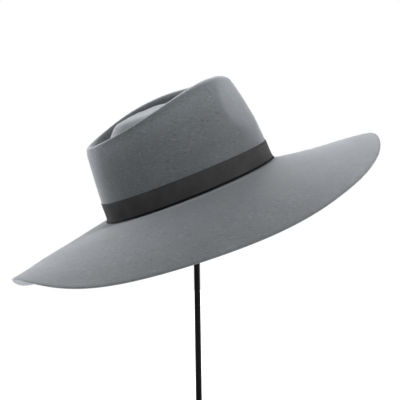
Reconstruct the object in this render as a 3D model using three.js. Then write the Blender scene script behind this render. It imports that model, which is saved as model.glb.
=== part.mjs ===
import * as THREE from 'three';

// Wide-brim felt fedora on a plain rod stand, in millimetres with +Z up.
// +X is the front of the hat and +Y the wearer's left. The origin is the middle of the
// stand's underside, on the axis of its rod.

// Driving dimensions of the hat, in its own frame: the head opening lies in z = 0
const FELT_THICKNESS = 2.2;
const RIBBON_THICKNESS = 1.0;
const CLEARANCE = 0.3;
const PITCH_DEGREES = 20.7;
const HAT_ORIGIN = { x: -6.5, z: 300 };

// Facets of the felt: steps around the crown and steps along each span of its profile
const STEPS_AROUND = 56;
const STEPS_PER_SPAN = 2;

// Driving dimensions of the stand
const ROD_RADIUS = 3.5;
const BASE = { radius: 90, height: 6, chamfer: 2, socketFloor: 2 };
const BALL = { radius: 22, collarRadius: 7, collarDrop: 30, socketDepth: 24 };

// Sections of the crown from the top of its dome down to the brim. Each is an oval with its
// own reach to the front, back and sides, narrowed toward the front by its taper. Its height
// runs from back to side to front, and swell lifts its front quarters above that run.
const CROWN_SECTIONS = rowsOf(
  ['name', 'front', 'back', 'side', 'taper', 'zFront', 'zBack', 'zSide', 'swell'],
  [
    ['dome_top', 1, 36, 13, 0.00, 100.2, 101.0, 101.4, 0.0],
    ['dome_shoulder', 22, 53.2, 28.5, 0.03, 96.0, 98.5, 98.3, 0.0],
    ['dome_foot', 36.5, 64.0, 41, 0.08, 89.5, 88.0, 89.0, 0.0],
    ['groove', 47.5, 74.5, 55, 0.13, 84.5, 76.5, 81.0, 0.0],
    ['groove_wall', 60, 83.2, 65, 0.16, 91.7, 78.8, 87.5, 3.4],
    ['rim_inner', 72.2, 88.2, 69.6, 0.165, 102.3, 84.8, 102.0, 6.2],
    ['rim_crest', 79.0, 90.7, 72.4, 0.16, 105.0, 86.7, 105.3, 6.4],
    ['rim_outer', 85.8, 93.3, 75.2, 0.125, 101.8, 85.2, 103.0, 6.1],
    ['wall_top', 89.0, 95.2, 78.1, 0.075, 96.0, 79.5, 94.6, 4.8],
    ['wall_upper', 95.2, 96.8, 80.1, 0.03, 77.0, 65.0, 76.0, 1.6],
    ['wall_middle', 98.9, 98.6, 81, 0.01, 51.5, 45.0, 49.0, 0.0],
    ['ribbon_top', 101.3, 100.2, 82.2, 0.00, 22.1, 22.3, 23.5, 0.0],
    ['ribbon_foot', 102.9, 101.7, 83.3, 0.00, 0.7, -0.1, 0.7, 0.0],
  ],
);

// Heights by which the crown's left and right sides differ: one, two and three sine waves
// around the hat, growing up the wall from the lower height to the upper one
const LEFT_DROP = { waves: [0.6, 1.3, 1.1], zNone: 30, zFull: 90 };

// The dome's highest point, and the oval where the wall turns into the brim
const DOME_PEAK = { x: -18, z: 102.6 };
const BRIM_BREAK = { halfLength: 104.2, halfWidth: 85.7, z: -0.8 };

// The brim's edge, and its height as waves around the hat added to a mean
const BRIM_EDGE = { halfLength: 225, halfWidth: 192.5, meanZ: -36.75 };
const BRIM_WAVES = rowsOf(
  ['count', 'cosine', 'sine'],
  [
    [1, 1.7, -0.7],
    [2, 15.1, 2.3],
    [3, -0.5, -3.0],
    [4, 2.9, 2.0],
    [5, -2.4, -1.6],
    [6, 1.5, -0.2],
  ],
);

// How fast the brim falls away from the break: a low power falls at once, a high one late
const BRIM_POWER = { front: 0.65, back: 1.5, side: 1.45 };
const BRIM_REACHES = [0.06, 0.25, 0.5, 0.75, 1];

// Oval faces pressed flat by the fingers on both sides of the crown's front
const PINCH = {
  middle: 28, halfWidth: 25, z: 76, halfHeight: 34, softness: 1.25,
  depth: 5.5, innerRadius: 62, fade: 14,
};

function rowsOf(columns, rows) {
  return rows.map((row) => Object.fromEntries(columns.map((name, k) => [name, row[k]])));
}

function material(color, roughness, metalness) {
  return new THREE.MeshStandardMaterial({ color, roughness, metalness });
}

// Value that runs from back to side to front as the angle's cosine runs from -1 to 1
function aroundHat(cosine, front, back, side) {
  return side + (front - back) / 2 * cosine + ((front + back) / 2 - side) * cosine ** 2;
}

function crownPoint(section, angle) {
  const c = Math.cos(angle);
  const s = Math.sin(angle);
  const centre = (section.front - section.back) / 2;
  const halfLength = (section.front + section.back) / 2;
  const height = aroundHat(c, section.zFront, section.zBack, section.zSide);
  const upTheWall = (section.zSide - LEFT_DROP.zNone) / (LEFT_DROP.zFull - LEFT_DROP.zNone);
  const drop = THREE.MathUtils.clamp(upTheWall, 0, 1)
    * LEFT_DROP.waves.reduce((sum, size, k) => sum + size * Math.sin((k + 1) * angle), 0);
  return new THREE.Vector3(
    centre + halfLength * c,
    section.side * s * (1 - section.taper * c),
    height + section.swell * (c - c ** 3) - drop,
  );
}

function brimEdgeHeight(angle) {
  return BRIM_WAVES.reduce((height, { count, cosine, sine }) => (
    height + cosine * Math.cos(count * angle) + sine * Math.sin(count * angle)
  ), BRIM_EDGE.meanZ);
}

function brimPoint(reach, angle) {
  const c = Math.cos(angle);
  const power = aroundHat(c, BRIM_POWER.front, BRIM_POWER.back, BRIM_POWER.side);
  return new THREE.Vector3(
    THREE.MathUtils.lerp(BRIM_BREAK.halfLength, BRIM_EDGE.halfLength, reach) * c,
    THREE.MathUtils.lerp(BRIM_BREAK.halfWidth, BRIM_EDGE.halfWidth, reach) * Math.sin(angle),
    THREE.MathUtils.lerp(BRIM_BREAK.z, brimEdgeHeight(angle), reach ** power),
  );
}

// Moves a point of the outer felt inward where the fingers have pinched the crown
function pinched(point) {
  const radius = Math.hypot(point.x, point.y);
  const inside = THREE.MathUtils.clamp((radius - PINCH.innerRadius) / PINCH.fade, 0, 1);
  if (inside === 0 || point.z < CROWN_SECTIONS.at(-2).zSide) return point;
  const degrees = Math.abs(THREE.MathUtils.radToDeg(Math.atan2(point.y, point.x)));
  const aside = (degrees - PINCH.middle) / PINCH.halfWidth;
  const above = (point.z - PINCH.z) / PINCH.halfHeight;
  const flat = Math.max(1 - aside ** 2 - above ** 2, 0) ** PINCH.softness;
  const push = PINCH.depth * inside * flat;
  const outward = new THREE.Vector3(point.x, point.y, 0).normalize();
  return point.addScaledVector(outward, -push);
}

// Rings of the felt's outer face, from just below the dome's peak to the brim's edge
function outerRings() {
  const profiles = [];
  for (let j = 0; j < STEPS_AROUND; j += 1) {
    const angle = 2 * Math.PI * j / STEPS_AROUND;
    const profile = new THREE.CatmullRomCurve3([
      new THREE.Vector3(DOME_PEAK.x, 0, DOME_PEAK.z),
      ...CROWN_SECTIONS.map((section) => crownPoint(section, angle)),
      ...[0, ...BRIM_REACHES].map((reach) => brimPoint(reach, angle)),
    ], false, 'centripetal');
    const spans = profile.points.length - 1;
    profiles.push(profile.getPoints(spans * STEPS_PER_SPAN).map(pinched));
  }
  return profiles[0].slice(1).map((_, k) => profiles.map((profile) => profile[k + 1]));
}

// Outward direction at each point of a stack of rings, from the points beside it
function ringNormals(rings) {
  return rings.map((ring, k) => ring.map((point, j) => {
    const above = rings[Math.max(k - 1, 0)][j];
    const below = rings[Math.min(k + 1, rings.length - 1)][j];
    const ahead = ring[(j + 1) % ring.length];
    const behind = ring[(j + ring.length - 1) % ring.length];
    const down = new THREE.Vector3().subVectors(below, above);
    const around = new THREE.Vector3().subVectors(ahead, behind);
    return down.cross(around).normalize();
  }));
}

function offsetRings(rings, normals, distance) {
  return rings.map((ring, k) => ring.map(
    (point, j) => point.clone().addScaledVector(normals[k][j], distance),
  ));
}

// Quads between two rings of vertex numbers, split into triangles facing left of the walk
// from the first ring to the second
function stripFaces(first, second) {
  const faces = [];
  for (let j = 0; j < first.length; j += 1) {
    const next = (j + 1) % first.length;
    faces.push(first[j], second[j], second[next]);
    faces.push(first[j], second[next], first[next]);
  }
  return faces;
}

function fanFaces(pole, ring) {
  const faces = [];
  for (let j = 0; j < ring.length; j += 1) {
    faces.push(pole, ring[j], ring[(j + 1) % ring.length]);
  }
  return faces;
}

function meshGeometry(points, faces) {
  const geometry = new THREE.BufferGeometry();
  geometry.setFromPoints(points);
  geometry.setIndex(faces);
  geometry.computeVertexNormals();
  return geometry;
}

// Numbers of the vertices of each ring when the rings are laid out one after another
function ringNumbers(rings, start) {
  return rings.map((ring, k) => ring.map((_, j) => start + k * ring.length + j));
}

// Closed wall between two stacks of rings that run the same way, open in the middle
function wallFaces(outer, inner) {
  const faces = [];
  for (let k = 0; k < outer.length - 1; k += 1) {
    faces.push(...stripFaces(outer[k], outer[k + 1]));
    faces.push(...stripFaces(inner[k + 1], inner[k]));
  }
  faces.push(...stripFaces(outer.at(-1), inner.at(-1)));
  return faces;
}

// One felt shell: dented crown and brim in a single sheet, closed around the brim's edge
function feltGeometry(outer, inner) {
  const count = outer.length * STEPS_AROUND;
  const outerNumbers = ringNumbers(outer, 0);
  const innerNumbers = ringNumbers(inner, count);
  const points = [
    ...outer.flat(),
    ...inner.flat(),
    new THREE.Vector3(DOME_PEAK.x, 0, DOME_PEAK.z),
    new THREE.Vector3(DOME_PEAK.x, 0, DOME_PEAK.z - FELT_THICKNESS),
  ];
  const faces = wallFaces(outerNumbers, innerNumbers);
  faces.push(...fanFaces(2 * count, outerNumbers[0]));
  faces.push(...fanFaces(2 * count + 1, innerNumbers[0].slice().reverse()));
  return meshGeometry(points, faces);
}

// The ribbon follows the felt's facets, one clearance away from them
function ribbonGeometry(outer, normals) {
  const top = STEPS_PER_SPAN * (CROWN_SECTIONS.length - 1) - 1;
  const foot = top + STEPS_PER_SPAN;
  const rings = outer.slice(top, foot + 1);
  const directions = normals.slice(top, foot + 1);
  const back = offsetRings(rings, directions, CLEARANCE);
  const front = offsetRings(rings, directions, CLEARANCE + RIBBON_THICKNESS);
  const frontNumbers = ringNumbers(front, 0);
  const backNumbers = ringNumbers(back, front.flat().length);
  const faces = wallFaces(frontNumbers, backNumbers);
  faces.push(...stripFaces(backNumbers[0], frontNumbers[0]));
  return meshGeometry([...front.flat(), ...back.flat()], faces);
}

// Turns a profile of [radius, height] pairs about the upright axis
function turned(profile, sides) {
  const points = profile.map(([radius, height]) => new THREE.Vector2(radius, height));
  const geometry = new THREE.LatheGeometry(points, sides);
  geometry.rotateX(Math.PI / 2);
  return geometry;
}

// Flat disc with a chamfered edge and a blind socket for the rod
function baseGeometry() {
  const { radius, height, chamfer, socketFloor } = BASE;
  const socket = ROD_RADIUS + CLEARANCE;
  return turned([
    [0, 0],
    [radius - chamfer / 2, 0],
    [radius, chamfer / 2],
    [radius, height - chamfer],
    [radius - chamfer, height],
    [socket, height],
    [socket, socketFloor],
    [0, socketFloor],
  ], 48);
}

// Ball with a short collar, bored from below for the rod; its centre is the local origin
function ballGeometry() {
  const { radius, collarRadius, collarDrop, socketDepth } = BALL;
  const socket = ROD_RADIUS + CLEARANCE;
  const neckAngle = Math.asin(collarRadius / radius);
  const profile = [
    [0, socketDepth - collarDrop],
    [socket, socketDepth - collarDrop],
    [socket, -collarDrop],
    [collarRadius, -collarDrop],
  ];
  const arcSteps = 9;
  for (let k = 0; k < arcSteps; k += 1) {
    const angle = neckAngle + (Math.PI - neckAngle) * k / arcSteps;
    profile.push([radius * Math.sin(angle), -radius * Math.cos(angle)]);
  }
  profile.push([0, radius]);
  return turned(profile, 24);
}

// Height at which the ball, on the rod's axis, comes up to one clearance from the felt
function ballHeight(innerPoints) {
  const reach = BALL.radius + CLEARANCE;
  let height = Infinity;
  for (const point of innerPoints) {
    const aside = Math.hypot(point.x, point.y);
    if (aside < reach && point.z > HAT_ORIGIN.z) {
      height = Math.min(height, point.z - Math.sqrt(reach ** 2 - aside ** 2));
    }
  }
  return height;
}

function namedMesh(name, geometry, look) {
  const mesh = new THREE.Mesh(geometry, look);
  mesh.name = name;
  return mesh;
}

const felt = material('#81868a', 0.95, 0);
const ribbon = material('#353435', 0.8, 0);
const blackMetal = material('#141415', 0.4, 0.4);

const outer = outerRings();
const normals = ringNormals(outer);
const inner = offsetRings(outer, normals, -FELT_THICKNESS);

// The hat leans back on its stand, front raised
const hat = new THREE.Group();
hat.position.set(HAT_ORIGIN.x, 0, HAT_ORIGIN.z);
hat.rotation.y = -THREE.MathUtils.degToRad(PITCH_DEGREES);
hat.updateMatrix();
hat.add(
  namedMesh('felt_body', feltGeometry(outer, inner), felt),
  namedMesh('hat_band', ribbonGeometry(outer, normals), ribbon),
);

const ball = namedMesh('stand_ball', ballGeometry(), blackMetal);
const placedInner = inner.flat().map((point) => point.clone().applyMatrix4(hat.matrix));
ball.position.z = ballHeight(placedInner);

const rodFoot = BASE.socketFloor + CLEARANCE;
const rodTop = ball.position.z - BALL.collarDrop + BALL.socketDepth - CLEARANCE;
const rodShape = new THREE.CylinderGeometry(ROD_RADIUS, ROD_RADIUS, rodTop - rodFoot, 16);
const rod = namedMesh('stand_rod', rodShape.rotateX(Math.PI / 2), blackMetal);
rod.position.z = (rodFoot + rodTop) / 2;

const fedora = new THREE.Group();
fedora.add(hat, ball, rod, namedMesh('stand_base', baseGeometry(), blackMetal));

export default fedora;
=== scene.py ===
import math

import bpy
import numpy as np
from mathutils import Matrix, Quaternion, Vector


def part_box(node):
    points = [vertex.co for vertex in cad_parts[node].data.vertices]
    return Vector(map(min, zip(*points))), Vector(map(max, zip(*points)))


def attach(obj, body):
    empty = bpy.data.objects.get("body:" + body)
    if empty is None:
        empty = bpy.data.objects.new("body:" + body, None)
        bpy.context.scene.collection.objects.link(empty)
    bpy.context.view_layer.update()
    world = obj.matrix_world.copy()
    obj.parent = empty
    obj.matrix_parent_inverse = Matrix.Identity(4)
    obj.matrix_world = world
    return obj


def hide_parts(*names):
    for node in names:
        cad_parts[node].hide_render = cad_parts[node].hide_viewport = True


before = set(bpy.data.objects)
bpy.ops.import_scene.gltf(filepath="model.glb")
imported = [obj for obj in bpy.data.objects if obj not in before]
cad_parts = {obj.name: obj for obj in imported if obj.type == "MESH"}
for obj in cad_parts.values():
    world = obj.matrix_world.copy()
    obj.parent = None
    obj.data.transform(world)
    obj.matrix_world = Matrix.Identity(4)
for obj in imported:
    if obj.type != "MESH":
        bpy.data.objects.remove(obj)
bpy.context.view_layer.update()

# Wide-brim felt fedora on a plain rod stand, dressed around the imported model.
# The hat is shaped in its own frame in millimetres, with the head opening in z = 0,
# +X at its front and +Y at the wearer's left, and is then leaned back onto its stand.
MM = 0.001
FELT_THICKNESS = 2.2
RIBBON_THICKNESS = 0.55
RIBBON_GAP = 0.12
CLEARANCE = 0.3
PITCH = math.radians(20.7)
HAT_ORIGIN = (-6.5, 0.0, 300.0)

# Fineness of the felt: points around it and rows along each span of its profile
FELT_AROUND = 240
FELT_ROWS_PER_SPAN = 7

# Rounding of the two corners of the brim's cut edge, and the steps round each
FELT_EDGE = {"radius": 0.55, "steps": 3}

# Crown sections from the top of the dome down to the brim: reach to the front, back and
# sides, narrowing toward the front, heights there, and the lift of the front quarters
SECTION_COLUMNS = ("front", "back", "side", "taper", "z_front", "z_back", "z_side", "swell")
CROWN_SECTIONS = {
    "dome_top": (1, 36, 13, 0.00, 100.2, 101.0, 101.4, 0.0),
    "dome_shoulder": (22, 53.2, 28.5, 0.03, 96.0, 98.5, 98.3, 0.0),
    "dome_foot": (36.5, 64.0, 41, 0.08, 89.5, 88.0, 89.0, 0.0),
    "groove": (47.5, 74.5, 55, 0.13, 84.5, 76.5, 81.0, 0.0),
    "groove_wall": (60, 83.2, 65, 0.16, 91.7, 78.8, 87.5, 3.4),
    "rim_inner": (72.2, 88.2, 69.6, 0.165, 102.3, 84.8, 102.0, 6.2),
    "rim_crest": (79.0, 90.7, 72.4, 0.16, 105.0, 86.7, 105.3, 6.4),
    "rim_outer": (85.8, 93.3, 75.2, 0.125, 101.8, 85.2, 103.0, 6.1),
    "wall_top": (89.0, 95.2, 78.1, 0.075, 96.0, 79.5, 94.6, 4.8),
    "wall_upper": (95.2, 96.8, 80.1, 0.03, 77.0, 65.0, 76.0, 1.6),
    "wall_middle": (98.9, 98.6, 81, 0.01, 51.5, 45.0, 49.0, 0.0),
    "ribbon_top": (101.3, 100.2, 82.2, 0.00, 22.1, 22.3, 23.5, 0.0),
    "ribbon_foot": (102.9, 101.7, 83.3, 0.00, 0.7, -0.1, 0.7, 0.0),
}
DOME_PEAK = (-18.0, 0.0, 102.6)

# Heights by which the crown's left and right sides differ: one, two and three sine waves
# around the hat, growing up the wall from the lower height to the upper one
LEFT_DROP = {"waves": (0.6, 1.3, 1.1), "z_none": 30.0, "z_full": 90.0}

# The oval where the wall turns into the brim, and the brim's edge, whose height is a mean
# and waves around the hat: their count, then the sizes of cosine and sine
BRIM_BREAK = {"half_length": 104.2, "half_width": 85.7, "z": -0.8}
BRIM_EDGE = {"half_length": 225.0, "half_width": 192.5, "mean_z": -36.75}
BRIM_WAVES = ((1, 1.7, -0.7), (2, 15.1, 2.3), (3, -0.5, -3.0),
              (4, 2.9, 2.0), (5, -2.4, -1.6), (6, 1.5, -0.2))

# A low power lets the brim fall away from the break at once, a high one late
BRIM_POWER = {"front": 0.65, "back": 1.5, "side": 1.45}
BRIM_REACHES = (0.0, 0.06, 0.25, 0.5, 0.75, 1.0)

# Oval faces pressed flat by the fingers on both sides of the crown's front: middle and half
# width in degrees from the front, height, depth, and where the push fades in from the axis
PINCH = {"middle": 28.0, "half_width": 25.0, "z": 76.0, "half_height": 34.0, "softness": 1.25,
         "depth": 5.5, "inner_radius": 62.0, "fade": 14.0}

# Slow unevenness that steaming and blocking by hand leaves: waves around the hat by count,
# phase and size, which turn with the radius, and where they grow on the brim and the wall
UNEVEN = {"waves": ((5, 0.7, 0.55), (7, 2.1, 0.40), (11, 4.0, 0.22), (16, 1.3, 0.12)),
          "turn": 0.013, "brim_radius": 110.0, "brim_fade": 110.0, "brim_share": 0.6,
          "wall_radius": 90.0, "wall_z": 26.0, "wall_fade": 20.0, "wall_share": 0.35}

# Painted highlights on the crown: the felt's colour lightened where light catches the rim's crest,
# the wall's top and the dome's shoulder. For each, the section where it is strongest, its spread
# counted in sections, and its share there
PAINTED_HIGHLIGHTS = (("rim_crest", 0.45, 0.84), ("wall_top", 0.9, 0.12), ("dome_shoulder", 1.6, 0.23))

# The ribbon: its reach past the foot section and its last rows above that line, both
# counted in sections, the gap that opens at its foot, its ribs, edges and lapped ends
RIBBON = {
    "past_foot": 0.6, "even_rows": 8, "last_rows": (0.5, 0.25, 0.0),
    "foot_gap": 0.45, "foot_gap_power": 12,
    "ribs": 640, "points_per_rib": 4, "rib_depth": 0.07,
    "edge_round": 0.25, "edge_share": 0.4,
    "lap_angle": 97.0, "lap_degrees": 8.0, "lap_step": 0.55,
}

# The stand in metres: points around its pieces, the roundings of their edges, and the ball
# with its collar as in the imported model
BASE = {"around": 160, "foot_rounding": 0.0006, "top_rounding": 0.0026, "socket_rounding": 0.0003}
ROD = {"around": 48, "end_rounding": 0.0005}
BALL = {"around": 64, "steps": 40, "radius": 0.022, "collar_radius": 0.007, "collar_drop": 0.030,
        "collar_bevel": 0.0006, "socket_depth": 0.024}
ROUNDING_STEPS = 6

# The floor, and the soft boxes around the hat: place, width and height in metres, and
# power in watts
FLOOR = {"radius": 1.7, "around": 96}
LIGHT_TARGET = (0.0, 0.0, 0.33)
SOFT_BOXES = {
    "above_behind": ((-0.3, 1.2, 1.6), 2.0, 1.0, 28),
    "behind_low": ((0.0, 1.7, 0.35), 2.6, 0.6, 12),
    "behind_left": ((-1.3, 1.3, 0.9), 1.2, 1.0, 5),
    "behind_right": ((1.7, 0.9, 0.6), 1.2, 1.2, 11),
    "right_low": ((1.9, 0.2, 0.35), 1.2, 0.7, 8),
    "above": ((0.0, 0.1, 1.6), 0.8, 0.8, 7),
    "above_left": ((-1.3, 0.4, 1.5), 1.0, 1.0, 6),
    "front_right": ((1.3, -1.4, 1.2), 1.0, 1.0, 22),
    "front_left": ((-1.3, -1.4, 1.2), 1.0, 1.0, 1.5),
}

# The camera: direction, distance and scale that the photograph shows, and where the
# middle of the head opening falls in its 400 by 400 pixels
CAMERA = {"azimuth": -15.0, "elevation": 2.0, "roll": -0.87, "distance": 1.4,
          "pixels_per_metre": 874.5, "origin_pixel": (190.2, 189.3)}
IMAGE_SIZE = 400

# Least length that a direction or a step is divided by
TINY = 1e-6


def fade_in(value, start, length):
    """Share that grows from 0 at start to 1 at that length past it."""
    return np.clip((value - start) / length, 0, 1)


def bell(offset, spread):
    """Bell curve that is 1 where the offset is 0."""
    return np.exp(-((offset / spread) ** 2))


def unit(vectors):
    """Directions of vectors, each 1 long."""
    return vectors / np.maximum(np.linalg.norm(vectors, axis=-1, keepdims=True), TINY)


def from_axis(points):
    """Distance of points from the hat's upright axis, and their level directions from it."""
    radius = np.hypot(points[..., 0], points[..., 1])
    level = points * np.array([1.0, 1.0, 0.0])
    return radius, level / np.maximum(radius, TINY)[..., None]


def around_hat(cosine, front, back, side):
    """Value that runs from back to side to front as the angle's cosine runs from -1 to 1."""
    return side + (front - back) / 2 * cosine + ((front + back) / 2 - side) * cosine**2


def crown_section(name):
    """Named values of one crown section."""
    return dict(zip(SECTION_COLUMNS, CROWN_SECTIONS[name]))


def crown_points(name, angles):
    """Oval row of one crown section."""
    s = crown_section(name)
    cosine, sine = np.cos(angles), np.sin(angles)
    centre, half_length = (s["front"] - s["back"]) / 2, (s["front"] + s["back"]) / 2
    height = around_hat(cosine, s["z_front"], s["z_back"], s["z_side"])
    waves = sum(size * np.sin((k + 1) * angles) for k, size in enumerate(LEFT_DROP["waves"]))
    low, high = LEFT_DROP["z_none"], LEFT_DROP["z_full"]
    drop = fade_in(s["z_side"], low, high - low) * waves
    return np.stack([
        centre + half_length * cosine,
        s["side"] * sine * (1 - s["taper"] * cosine),
        height + s["swell"] * (cosine - cosine**3) - drop,
    ], axis=-1)


def brim_points(reach, angles):
    """Oval row of the brim, from its break with the wall at reach 0 to its edge at 1."""
    cosine = np.cos(angles)
    edge_z = np.full_like(angles, BRIM_EDGE["mean_z"])
    for count, along_cosine, along_sine in BRIM_WAVES:
        edge_z += along_cosine * np.cos(count * angles) + along_sine * np.sin(count * angles)
    power = around_hat(cosine, BRIM_POWER["front"], BRIM_POWER["back"], BRIM_POWER["side"])
    length = BRIM_BREAK["half_length"] * (1 - reach) + BRIM_EDGE["half_length"] * reach
    width = BRIM_BREAK["half_width"] * (1 - reach) + BRIM_EDGE["half_width"] * reach
    fall = reach**power
    return np.stack([
        length * cosine,
        width * np.sin(angles),
        BRIM_BREAK["z"] * (1 - fall) + edge_z * fall,
    ], axis=-1)


def profile_controls(angles):
    """Control rows of the outer felt, from the dome's peak to the brim's edge."""
    peak = np.broadcast_to(np.array(DOME_PEAK), (len(angles), 3))
    crown = [crown_points(name, angles) for name in CROWN_SECTIONS]
    brim = [brim_points(reach, angles) for reach in BRIM_REACHES]
    return np.array([peak, *crown, *brim])


def control_number(name):
    """Place of a crown section among the control rows, of which the peak is the first."""
    return 1 + list(CROWN_SECTIONS).index(name)


def spline_rows(controls, places):
    """Centripetal Catmull-Rom rows at the given places, counted in controls."""
    padded = np.array([2 * controls[0] - controls[1], *controls, 2 * controls[-1] - controls[-2]])
    rows = []
    for place in places:
        span = min(int(place), len(controls) - 2)
        p = padded[span:span + 4]
        steps = np.maximum(np.linalg.norm(np.diff(p, axis=0), axis=-1, keepdims=True), TINY)**0.5
        t0 = np.zeros_like(steps[0])
        t1, t2, t3 = t0 + steps[0], t0 + steps[0] + steps[1], t0 + steps.sum(axis=0)
        t = t1 + (t2 - t1) * (place - span)
        a1 = ((t1 - t) * p[0] + (t - t0) * p[1]) / (t1 - t0)
        a2 = ((t2 - t) * p[1] + (t - t1) * p[2]) / (t2 - t1)
        a3 = ((t3 - t) * p[2] + (t - t2) * p[3]) / (t3 - t2)
        b1 = ((t2 - t) * a1 + (t - t0) * a2) / (t2 - t0)
        b2 = ((t3 - t) * a2 + (t - t1) * a3) / (t3 - t1)
        rows.append(((t2 - t) * b1 + (t - t1) * b2) / (t2 - t1))
    return np.array(rows)


def pinched(points):
    """Outer felt points moved inward where the fingers have pinched the crown."""
    radius, outward = from_axis(points)
    height = points[..., 2]
    on_wall = fade_in(radius, PINCH["inner_radius"], PINCH["fade"])
    on_wall = on_wall * (height >= crown_section("ribbon_top")["z_side"])
    degrees = np.abs(np.degrees(np.arctan2(points[..., 1], points[..., 0])))
    aside = (degrees - PINCH["middle"]) / PINCH["half_width"]
    above = (height - PINCH["z"]) / PINCH["half_height"]
    flat = np.clip(1 - aside**2 - above**2, 0, 1)**PINCH["softness"]
    push = PINCH["depth"] * on_wall * flat
    return points - outward * push[..., None]


def hand_shaped(points, angles):
    """Outer felt points with the shallow unevenness that shaping by hand leaves."""
    radius, outward = from_axis(points)
    on_brim = fade_in(radius, UNEVEN["brim_radius"], UNEVEN["brim_fade"])
    on_wall = fade_in(radius, 0.0, UNEVEN["wall_radius"])
    on_wall = on_wall * fade_in(points[..., 2], UNEVEN["wall_z"], UNEVEN["wall_fade"])
    turned = angles + radius * UNEVEN["turn"]
    wave = sum(size * np.sin(count * turned + phase) for count, phase, size in UNEVEN["waves"])
    uneven = wave * (on_brim * UNEVEN["brim_share"] + on_wall * UNEVEN["wall_share"])
    lifted = points.copy()
    lifted[..., 2] += uneven * on_brim
    return lifted + outward * (uneven * on_wall)[..., None]


def outer_felt(angles, places):
    """Rows of the hat's outer surface at places along its profile."""
    return hand_shaped(pinched(spline_rows(profile_controls(angles), places)), angles)


def row_downs(rows):
    """Directions down a stack of rows that run from the top down."""
    return unit(np.gradient(rows, axis=0))


def row_normals(rows):
    """Outward directions of a stack of closed rows that run from the top down."""
    around = np.roll(rows, -1, axis=1) - np.roll(rows, 1, axis=1)
    return unit(np.cross(np.gradient(rows, axis=0), around))


def leaned(points):
    """Hat frame in millimetres to the row frame in metres."""
    x, y, z = points[..., 0], points[..., 1], points[..., 2]
    return MM * np.stack([
        HAT_ORIGIN[0] + x * math.cos(PITCH) - z * math.sin(PITCH),
        HAT_ORIGIN[1] + y,
        HAT_ORIGIN[2] + x * math.sin(PITCH) + z * math.cos(PITCH),
    ], axis=-1)


def ring_faces(rings, closed_rows=False, flip=False):
    """Quads between rings of equal length; closed_rows joins the last ring to the first."""
    count, length = rings
    faces = []
    for k in range(count if closed_rows else count - 1):
        this, below = k * length, (k + 1) % count * length
        for j in range(length):
            after = (j + 1) % length
            a, b, c, d = this + j, below + j, below + after, this + after
            faces.append((a, d, c, b) if flip else (a, b, c, d))
    return faces


def fan_faces(pole, start, length, flip):
    """Triangles between a pole and the ring of points that begins at start."""
    faces = []
    for j in range(length):
        this, after = start + j, start + (j + 1) % length
        faces.append((pole, after, this) if flip else (pole, this, after))
    return faces


def mesh_object(name, points, faces, material, marks=None):
    """Smooth mesh piece; marks are one value a point, which its material can read."""
    mesh = bpy.data.meshes.new(name)
    mesh.from_pydata([tuple(p) for p in points], [], faces)
    if marks is not None:
        layer = mesh.attributes.new("marks", "FLOAT", "POINT")
        layer.data.foreach_set("value", np.asarray(marks, np.float32))
    mesh.polygons.foreach_set("use_smooth", [True] * len(mesh.polygons))
    mesh.materials.append(material)
    mesh.validate()
    piece = bpy.data.objects.new(name, mesh)
    bpy.context.scene.collection.objects.link(piece)
    return piece


def edge_rounding(edge, normals, outward):
    """Rows round the brim's cut edge, from the upper face to the lower one."""
    radius, steps = FELT_EDGE["radius"], FELT_EDGE["steps"]
    turns = [math.pi / 2 * k / steps for k in range(steps + 1)]
    corners = ((1, radius, turns), (-1, FELT_THICKNESS - radius, turns[::-1]))
    rows = []
    for side, depth, corner_turns in corners:
        centre = edge - outward * radius - normals * depth
        for turn in corner_turns:
            direction = outward * math.sin(turn) + side * normals * math.cos(turn)
            rows.append(centre + radius * direction)
    return np.array(rows)


def painted_highlight_share(places):
    """Share of painted highlight at places along the profile."""
    return sum(share * bell(places - control_number(name), spread)
               for name, spread, share in PAINTED_HIGHLIGHTS)


def build_felt(material):
    """One felt cap: dented crown and brim as a thin hollow sheet with a cut edge.

    Its marks are the shares of painted highlight.
    """
    angles = np.linspace(0, 2 * math.pi, FELT_AROUND, endpoint=False)
    spans = len(CROWN_SECTIONS) + len(BRIM_REACHES)
    places = np.linspace(0, spans, spans * FELT_ROWS_PER_SPAN + 1)[1:]
    outer = outer_felt(angles, places)
    normals = row_normals(outer)
    inner = outer - normals * FELT_THICKNESS
    edge = edge_rounding(outer[-1], normals[-1], unit(outer[-1] - outer[-2]))
    rows = np.concatenate([outer[:-1], edge, inner[:-1][::-1]])
    points = [*leaned(rows).reshape(-1, 3)]
    faces = ring_faces(rows.shape[:2])
    last_row = (len(rows) - 1) * FELT_AROUND
    for start, depth, flip in ((0, 0.0, False), (last_row, FELT_THICKNESS, True)):
        faces += fan_faces(len(points), start, FELT_AROUND, flip)
        points.append(leaned(np.array(DOME_PEAK) - np.array([0, 0, depth])))
    row_places = np.concatenate([places[:-1], np.full(len(edge), places[-1]), places[-2::-1]])
    marks = np.append(np.repeat(painted_highlight_share(row_places), FELT_AROUND), [0.0, 0.0])
    return mesh_object("felt_hat", points, faces, material, marks)


def ribbon_thickness(angles):
    """Thickness around the ribbon: grooves between its ribs, and a step where it laps."""
    groove = RIBBON["rib_depth"] * (1 + np.cos(RIBBON["ribs"] * angles)) / 2
    past_lap = (np.degrees(angles) - RIBBON["lap_angle"]) / RIBBON["lap_degrees"]
    lap = RIBBON["lap_step"] * ((past_lap > 0) & (past_lap < 1))
    return RIBBON_THICKNESS - groove + lap


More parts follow.
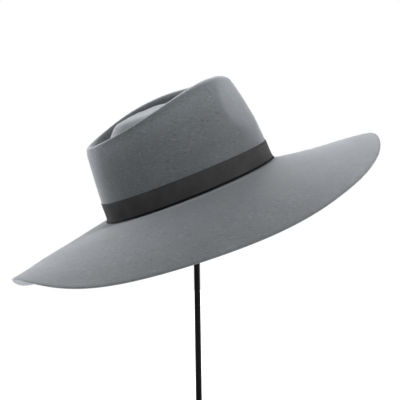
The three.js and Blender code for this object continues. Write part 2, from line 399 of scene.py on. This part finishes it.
def build_ribbon(material):
    """Ribbed ribbon round the foot of the crown, its ends lapped on the wearer's left.

    Its marks run from 0 at its top to 1 at its foot.
    """
    count = RIBBON["ribs"] * RIBBON["points_per_rib"]
    angles = np.linspace(0, 2 * math.pi, count, endpoint=False)
    top = control_number("ribbon_top")
    foot = control_number("ribbon_foot") + RIBBON["past_foot"]
    last_even, *last_rows = (foot - above for above in RIBBON["last_rows"])
    places = np.append(np.linspace(top, last_even, RIBBON["even_rows"]), last_rows)
    felt = outer_felt(angles, places)
    normals, down = row_normals(felt), row_downs(felt)
    lengths = np.linalg.norm(np.diff(felt, axis=0), axis=-1).mean(axis=1)
    share = np.append([0], np.cumsum(lengths)) / lengths.sum()
    gap = RIBBON_GAP + RIBBON["foot_gap"] * share**RIBBON["foot_gap_power"]
    back = felt + normals * gap[:, None, None]
    front = back + normals * ribbon_thickness(angles)[None, :, None]
    inset = normals * RIBBON["edge_round"]
    reach = down * RIBBON["edge_round"] * RIBBON["edge_share"]
    top_edge = front[0] - inset[0] - reach[0]
    foot_edge = front[-1] - inset[-1] + reach[-1]
    rows = np.concatenate([top_edge[None], front, foot_edge[None], back[::-1]])
    faces = ring_faces(rows.shape[:2], closed_rows=True)
    marks = np.repeat(np.concatenate([[0], share, [1], share[::-1]]), count)
    return mesh_object("hat_ribbon", leaned(rows).reshape(-1, 3), faces, material, marks)


def rounded_profile(corners):
    """Profile through (radius, height, rounding) corners in metres, each rounded by a curve."""
    points = [Vector(corners[0][:2])]
    for before, corner, after in zip(corners, corners[1:], corners[2:]):
        here, rounding = Vector(corner[:2]), corner[2]
        if rounding == 0:
            points.append(here)
            continue
        start = here + (Vector(before[:2]) - here).normalized() * rounding
        end = here + (Vector(after[:2]) - here).normalized() * rounding
        for k in range(ROUNDING_STEPS + 1):
            share = k / ROUNDING_STEPS
            points.append(start.lerp(here, share).lerp(here.lerp(end, share), share))
    points.append(Vector(corners[-1][:2]))
    return points


def turned_piece(name, profile, around, material, lift=0.0):
    """Solid turned about the rod; its profile runs from axis to axis with the solid at its left."""
    turns = [2 * math.pi * j / around for j in range(around)]
    rings = profile[1:-1]
    points = [(p.x * math.cos(turn), p.x * math.sin(turn), p.y + lift)
              for p in rings for turn in turns]
    faces = ring_faces((len(rings), around), flip=True)
    last_ring = (len(rings) - 1) * around
    for pole, start, flip in ((profile[0], 0, True), (profile[-1], last_ring, False)):
        faces += fan_faces(len(points), start, around, flip)
        points.append((0.0, 0.0, pole.y + lift))
    return mesh_object(name, points, faces, material)


def socket_radius():
    """Radius of the holes that hold the rod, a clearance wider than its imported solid."""
    low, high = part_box("stand_rod")
    return (high.x - low.x) / 2 + CLEARANCE * MM


def build_base(material):
    """Round base plate with a blind socket for the rod."""
    low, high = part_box("stand_base")
    socket = socket_radius()
    socket_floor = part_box("stand_rod")[0].z - CLEARANCE * MM
    profile = rounded_profile([
        (0, low.z, 0),
        (high.x, low.z, BASE["foot_rounding"]),
        (high.x, high.z, BASE["top_rounding"]),
        (socket, high.z, BASE["socket_rounding"]),
        (socket, socket_floor, 0),
        (0, socket_floor, 0),
    ])
    return turned_piece("stand_disc", profile, BASE["around"], material)


def build_rod(material):
    """Upright rod with slightly rounded ends."""
    low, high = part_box("stand_rod")
    profile = rounded_profile([
        (0, low.z, 0),
        (high.x, low.z, ROD["end_rounding"]),
        (high.x, high.z, ROD["end_rounding"]),
        (0, high.z, 0),
    ])
    return turned_piece("stand_upright", profile, ROD["around"], material)


def build_ball(material):
    """Ball and collar with a blind socket for the rod, profiled from the ball's middle."""
    radius, collar, bevel = BALL["radius"], BALL["collar_radius"], BALL["collar_bevel"]
    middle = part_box("stand_ball")[1].z - radius
    socket, mouth = socket_radius(), -BALL["collar_drop"]
    ceiling = BALL["socket_depth"] + mouth
    profile = [(0, ceiling), (socket, ceiling), (socket, mouth),
               (collar - bevel, mouth), (collar, mouth + bevel)]
    neck = math.asin(collar / radius)
    for k in range(BALL["steps"]):
        angle = neck + (math.pi - neck) * k / BALL["steps"]
        profile.append((radius * math.sin(angle), -radius * math.cos(angle)))
    profile.append((0, radius))
    profile = [Vector(point) for point in profile]
    return turned_piece("stand_head", profile, BALL["around"], material, lift=middle)


class Shader:
    """Small helper around one material's node tree."""

    def __init__(self, name):
        self.material = bpy.data.materials.new(name)
        self.material.use_nodes = True
        self.tree = self.material.node_tree
        self.bsdf = self.tree.nodes["Principled BSDF"]
        self.coordinates = self.add("ShaderNodeTexCoord")

    def add(self, kind, **values):
        node = self.tree.nodes.new(kind)
        for key, value in values.items():
            setattr(node, key, value)
        return node

    def link(self, source, target):
        self.tree.links.new(source, target)

    def marks(self):
        """The piece's own value at each point, as mesh_object stores it."""
        return self.add("ShaderNodeAttribute", attribute_name="marks").outputs["Fac"]

    def noise(self, scale, detail=2.0, roughness=0.5, stretch=None):
        """Noise in the object's coordinates, finer along an axis whose stretch is larger."""
        node = self.add("ShaderNodeTexNoise")
        node.inputs["Scale"].default_value = scale
        node.inputs["Detail"].default_value = detail
        node.inputs["Roughness"].default_value = roughness
        source = self.coordinates.outputs["Object"]
        if stretch:
            mapping = self.add("ShaderNodeMapping")
            mapping.inputs["Scale"].default_value = stretch
            self.link(source, mapping.inputs["Vector"])
            source = mapping.outputs["Vector"]
        self.link(source, node.inputs["Vector"])
        return node.outputs["Fac"]

    def ramp(self, source, stops):
        """Colours between stops of place and colour."""
        node = self.add("ShaderNodeValToRGB")
        elements = node.color_ramp.elements
        while len(elements) < len(stops):
            elements.new(0.5)
        for element, (place, colour) in zip(elements, stops):
            element.position = place
            element.color = (*colour, 1.0)
        self.link(source, node.inputs["Fac"])
        return node.outputs["Color"]

    def grey_ramp(self, source, stops):
        return self.ramp(source, [(place, (value,) * 3) for place, value in stops])

    def product(self, colour, *factors):
        """Colour multiplied by each factor in turn."""
        for factor in factors:
            node = self.add("ShaderNodeMix", data_type="RGBA", blend_type="MULTIPLY")
            node.inputs["Factor"].default_value = 1.0
            self.link(colour, node.inputs["A"])
            self.link(factor, node.inputs["B"])
            colour = node.outputs["Result"]
        return colour

    def bump(self, height, strength, distance, under=None):
        """Normals of a height, laid over those of a bump under it."""
        node = self.add("ShaderNodeBump")
        node.inputs["Strength"].default_value = strength
        node.inputs["Distance"].default_value = distance
        self.link(height, node.inputs["Height"])
        if under is not None:
            self.link(under, node.inputs["Normal"])
        return node.outputs["Normal"]

    def set(self, **values):
        """Constants on the shader's own sockets, named with _ for each space."""
        for key, value in values.items():
            self.bsdf.inputs[key.replace("_", " ")].default_value = value

    def finish(self, colour, roughness, normal=None):
        """Link what varies over the surface, and give the material back."""
        self.link(colour, self.bsdf.inputs["Base Color"])
        self.link(roughness, self.bsdf.inputs["Roughness"])
        if normal is not None:
            self.link(normal, self.bsdf.inputs["Normal"])
        return self.material


def felt_material():
    """Pressed felt: grey, matt, clouded, flecked with darker and paler fibres, and lightened by
    painted highlights on the crown.
    """
    s = Shader("grey_felt")
    fibre_stretch = (0.5, 0.4, 1.5)
    clouds = s.ramp(s.noise(30, detail=4.0, roughness=0.6),
                    [(0.30, (0.116, 0.130, 0.140)), (0.70, (0.136, 0.152, 0.162))])
    mottle = s.grey_ramp(s.noise(380, detail=4.0, roughness=0.7),
                         [(0.34, 0.90), (0.50, 1.0), (0.66, 1.10)])
    pale = s.grey_ramp(s.noise(460, stretch=fibre_stretch), [(0.60, 1.0), (0.74, 1.48)])
    dark = s.grey_ramp(s.noise(400, stretch=fibre_stretch), [(0.28, 0.62), (0.39, 1.0)])
    # Painted highlight: the colour lightened up to 3.9 times where the marks are high, along the
    # crown's rim and dome
    painted_highlight = s.grey_ramp(s.marks(), [(0.0, 1.0), (1.0, 3.9)])
    fuzz = s.bump(s.noise(2400, detail=3.0, roughness=0.7), strength=0.4, distance=0.0003)
    nap = s.bump(s.noise(560, detail=4.0, roughness=0.65), strength=0.6, distance=0.0008,
                 under=fuzz)
    s.set(Sheen_Weight=0.9, Sheen_Roughness=0.42, Sheen_Tint=(0.90, 0.93, 1.0, 1.0),
          Specular_IOR_Level=0.5)
    roughness = s.grey_ramp(s.noise(160), [(0.3, 0.60), (0.7, 0.68)])
    return s.finish(s.product(clouds, mottle, pale, dark, painted_highlight), roughness, nap)


def ribbon_material():
    """Charcoal ribbed ribbon with a soft sheen and a painted shadow along its foot, where it stands
    off the brim.
    """
    s = Shader("charcoal_ribbon")
    clouds = s.ramp(s.noise(60, detail=3.0),
                    [(0.3, (0.047, 0.0465, 0.0480)), (0.7, (0.063, 0.0622, 0.0642))])
    threads = s.grey_ramp(s.noise(1800, roughness=0.6), [(0.3, 0.82), (0.7, 1.18)])
    # Painted shadow: the ribbon's lowest rows darkened almost to black
    painted_foot_shadow = s.grey_ramp(s.marks(), [(0.865, 1.0), (0.88, 0.03)])
    weave = s.bump(s.noise(3000, roughness=0.6), strength=0.3, distance=0.0002)
    s.set(Sheen_Weight=0.04, Sheen_Roughness=0.4, Specular_IOR_Level=0.15)
    roughness = s.grey_ramp(s.noise(220), [(0.3, 0.60), (0.7, 0.72)])
    return s.finish(s.product(clouds, threads, painted_foot_shadow), roughness, weave)


def black_material():
    """Satin black paint with a faint orange peel."""
    s = Shader("satin_black")
    colour = s.ramp(s.noise(25, detail=3.0),
                    [(0.3, (0.002, 0.002, 0.0021)), (0.7, (0.004, 0.004, 0.0042))])
    peel = s.bump(s.noise(900), strength=0.12, distance=0.0002)
    s.set(Specular_IOR_Level=0.12)
    roughness = s.grey_ramp(s.noise(90, detail=3.0), [(0.3, 0.40), (0.7, 0.52)])
    return s.finish(colour, roughness, peel)


def floor_material():
    """Pale floor that glows faintly, so that it runs into the white surroundings."""
    s = Shader("pale_floor")
    colour = s.grey_ramp(s.noise(3), [(0.3, 0.93), (0.7, 0.95)])
    s.set(Specular_IOR_Level=0.0, Emission_Color=(1.0, 1.0, 1.0, 1.0), Emission_Strength=0.3)
    roughness = s.grey_ramp(s.noise(5), [(0.3, 0.85), (0.7, 0.95)])
    return s.finish(colour, roughness)


def build_floor(material):
    """Round floor under the stand, which is no part of the object."""
    radius, around = FLOOR["radius"], FLOOR["around"]
    turns = [2 * math.pi * k / around for k in range(around)]
    points = [(radius * math.cos(turn), radius * math.sin(turn), 0) for turn in turns]
    floor = mesh_object("floor", points, [tuple(range(around))], material)


def soft_light(name, place, width, height, power):
    """Rectangular lamp that shines at the hat and isn't seen itself."""
    light = bpy.data.lights.new(name, "AREA")
    light.shape = "RECTANGLE"
    light.size, light.size_y = width, height
    light.energy = power
    lamp = bpy.data.objects.new(name, light)
    lamp.location = place
    lamp.rotation_mode = "QUATERNION"
    lamp.rotation_quaternion = (Vector(LIGHT_TARGET) - Vector(place)).to_track_quat("-Z", "Y")
    lamp.visible_camera = False
    bpy.context.scene.collection.objects.link(lamp)


def light_scene():
    """White surroundings seen by the camera, lit by soft boxes mostly above and behind."""
    for name, (place, width, height, power) in SOFT_BOXES.items():
        soft_light(name, place, width, height, power)
    world = bpy.data.worlds.new("surroundings")
    world.use_nodes = True
    tree = world.node_tree
    background = tree.nodes["Background"]
    background.inputs["Color"].default_value = (1.0, 1.0, 1.0, 1.0)
    seen = tree.nodes.new("ShaderNodeLightPath")
    tree.links.new(seen.outputs["Is Camera Ray"], background.inputs["Strength"])
    bpy.context.scene.world = world
    bpy.context.scene.view_settings.view_transform = "Standard"


def build_camera():
    """Camera at the photograph's angle, with the head opening's middle on its pixel."""
    azimuth, elevation = math.radians(CAMERA["azimuth"]), math.radians(CAMERA["elevation"])
    back = Vector((math.sin(azimuth) * math.cos(elevation),
                   -math.cos(azimuth) * math.cos(elevation), math.sin(elevation)))
    roll = Quaternion((0, 0, 1), math.radians(CAMERA["roll"]))
    facing = (-back).to_track_quat("-Z", "Y") @ roll
    right, up = facing @ Vector((1, 0, 0)), facing @ Vector((0, 1, 0))
    across = (IMAGE_SIZE / 2 - CAMERA["origin_pixel"][0]) / CAMERA["pixels_per_metre"]
    above = (CAMERA["origin_pixel"][1] - IMAGE_SIZE / 2) / CAMERA["pixels_per_metre"]
    middle = Vector(HAT_ORIGIN) * MM + right * across + up * above
    data = bpy.data.cameras.new("camera")
    data.sensor_width = 36.0
    data.lens = CAMERA["pixels_per_metre"] * CAMERA["distance"] / IMAGE_SIZE * data.sensor_width
    camera = bpy.data.objects.new("camera", data)
    camera.rotation_mode = "QUATERNION"
    camera.rotation_quaternion = facing
    camera.location = middle + back * CAMERA["distance"]
    bpy.context.scene.collection.objects.link(camera)
    bpy.context.scene.camera = camera


def dress():
    """Build each piece on the one body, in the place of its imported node."""
    black = black_material()
    pieces = (
        (build_felt(felt_material()), "felt_body", "felt"),
        (build_ribbon(ribbon_material()), "hat_band", "ribbon"),
        (build_base(black), "stand_base", "black_paint"),
        (build_rod(black), "stand_rod", "black_paint"),
        (build_ball(black), "stand_ball", "black_paint"),
    )
    for piece, node, slot in pieces:
        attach(piece, "root")
        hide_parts(node)


build_camera()
light_scene()
build_floor(floor_material())
dress()
